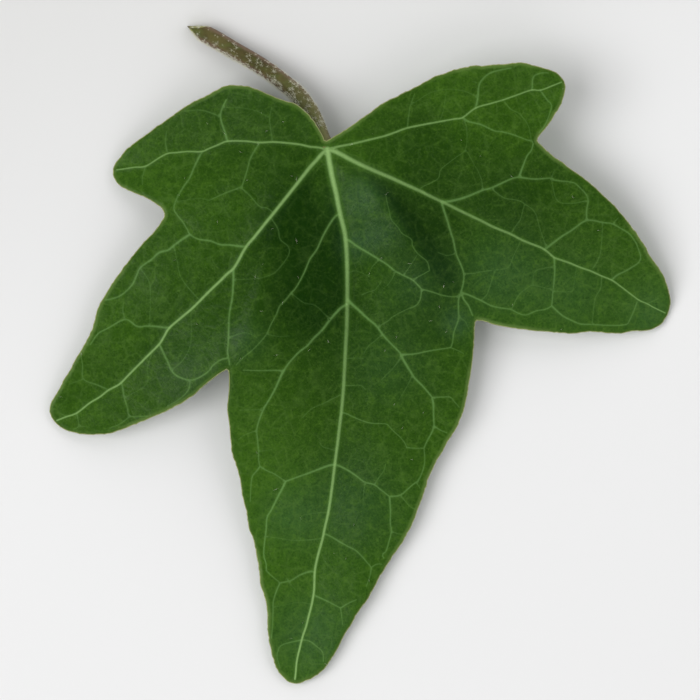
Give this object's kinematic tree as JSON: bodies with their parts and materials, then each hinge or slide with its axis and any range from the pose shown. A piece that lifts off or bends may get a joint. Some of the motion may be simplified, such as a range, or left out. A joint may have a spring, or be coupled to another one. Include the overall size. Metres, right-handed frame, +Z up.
{
  "type": "ivy leaf",
  "caption": "Five-lobed ivy leaf with raised veins beneath and its cut stalk, lying face up on the tips of its lobes.",
  "frame": {"origin": "centre of the leaf's bounding box in plan, on the surface that it lies on", "axes": "+Z up out of the upper face; the central lobe points along -Y and the stalk leaves towards +Y; +X to the right seen from above"},
  "size_m": [0.062, 0.0654, 0.0069],
  "materials": {
    "leaf_blade": "leathery green leaf skin with pale veins and a waxy sheen",
    "leaf_stalk": "olive-brown stalk skin, green below, with a pale cut end",
    "leaf_hair": "short pale matt hairs and dust"
  },
  "bodies": {
    "root": {"ivy_leaf": "leaf_blade"}
  },
  "joints": []
}
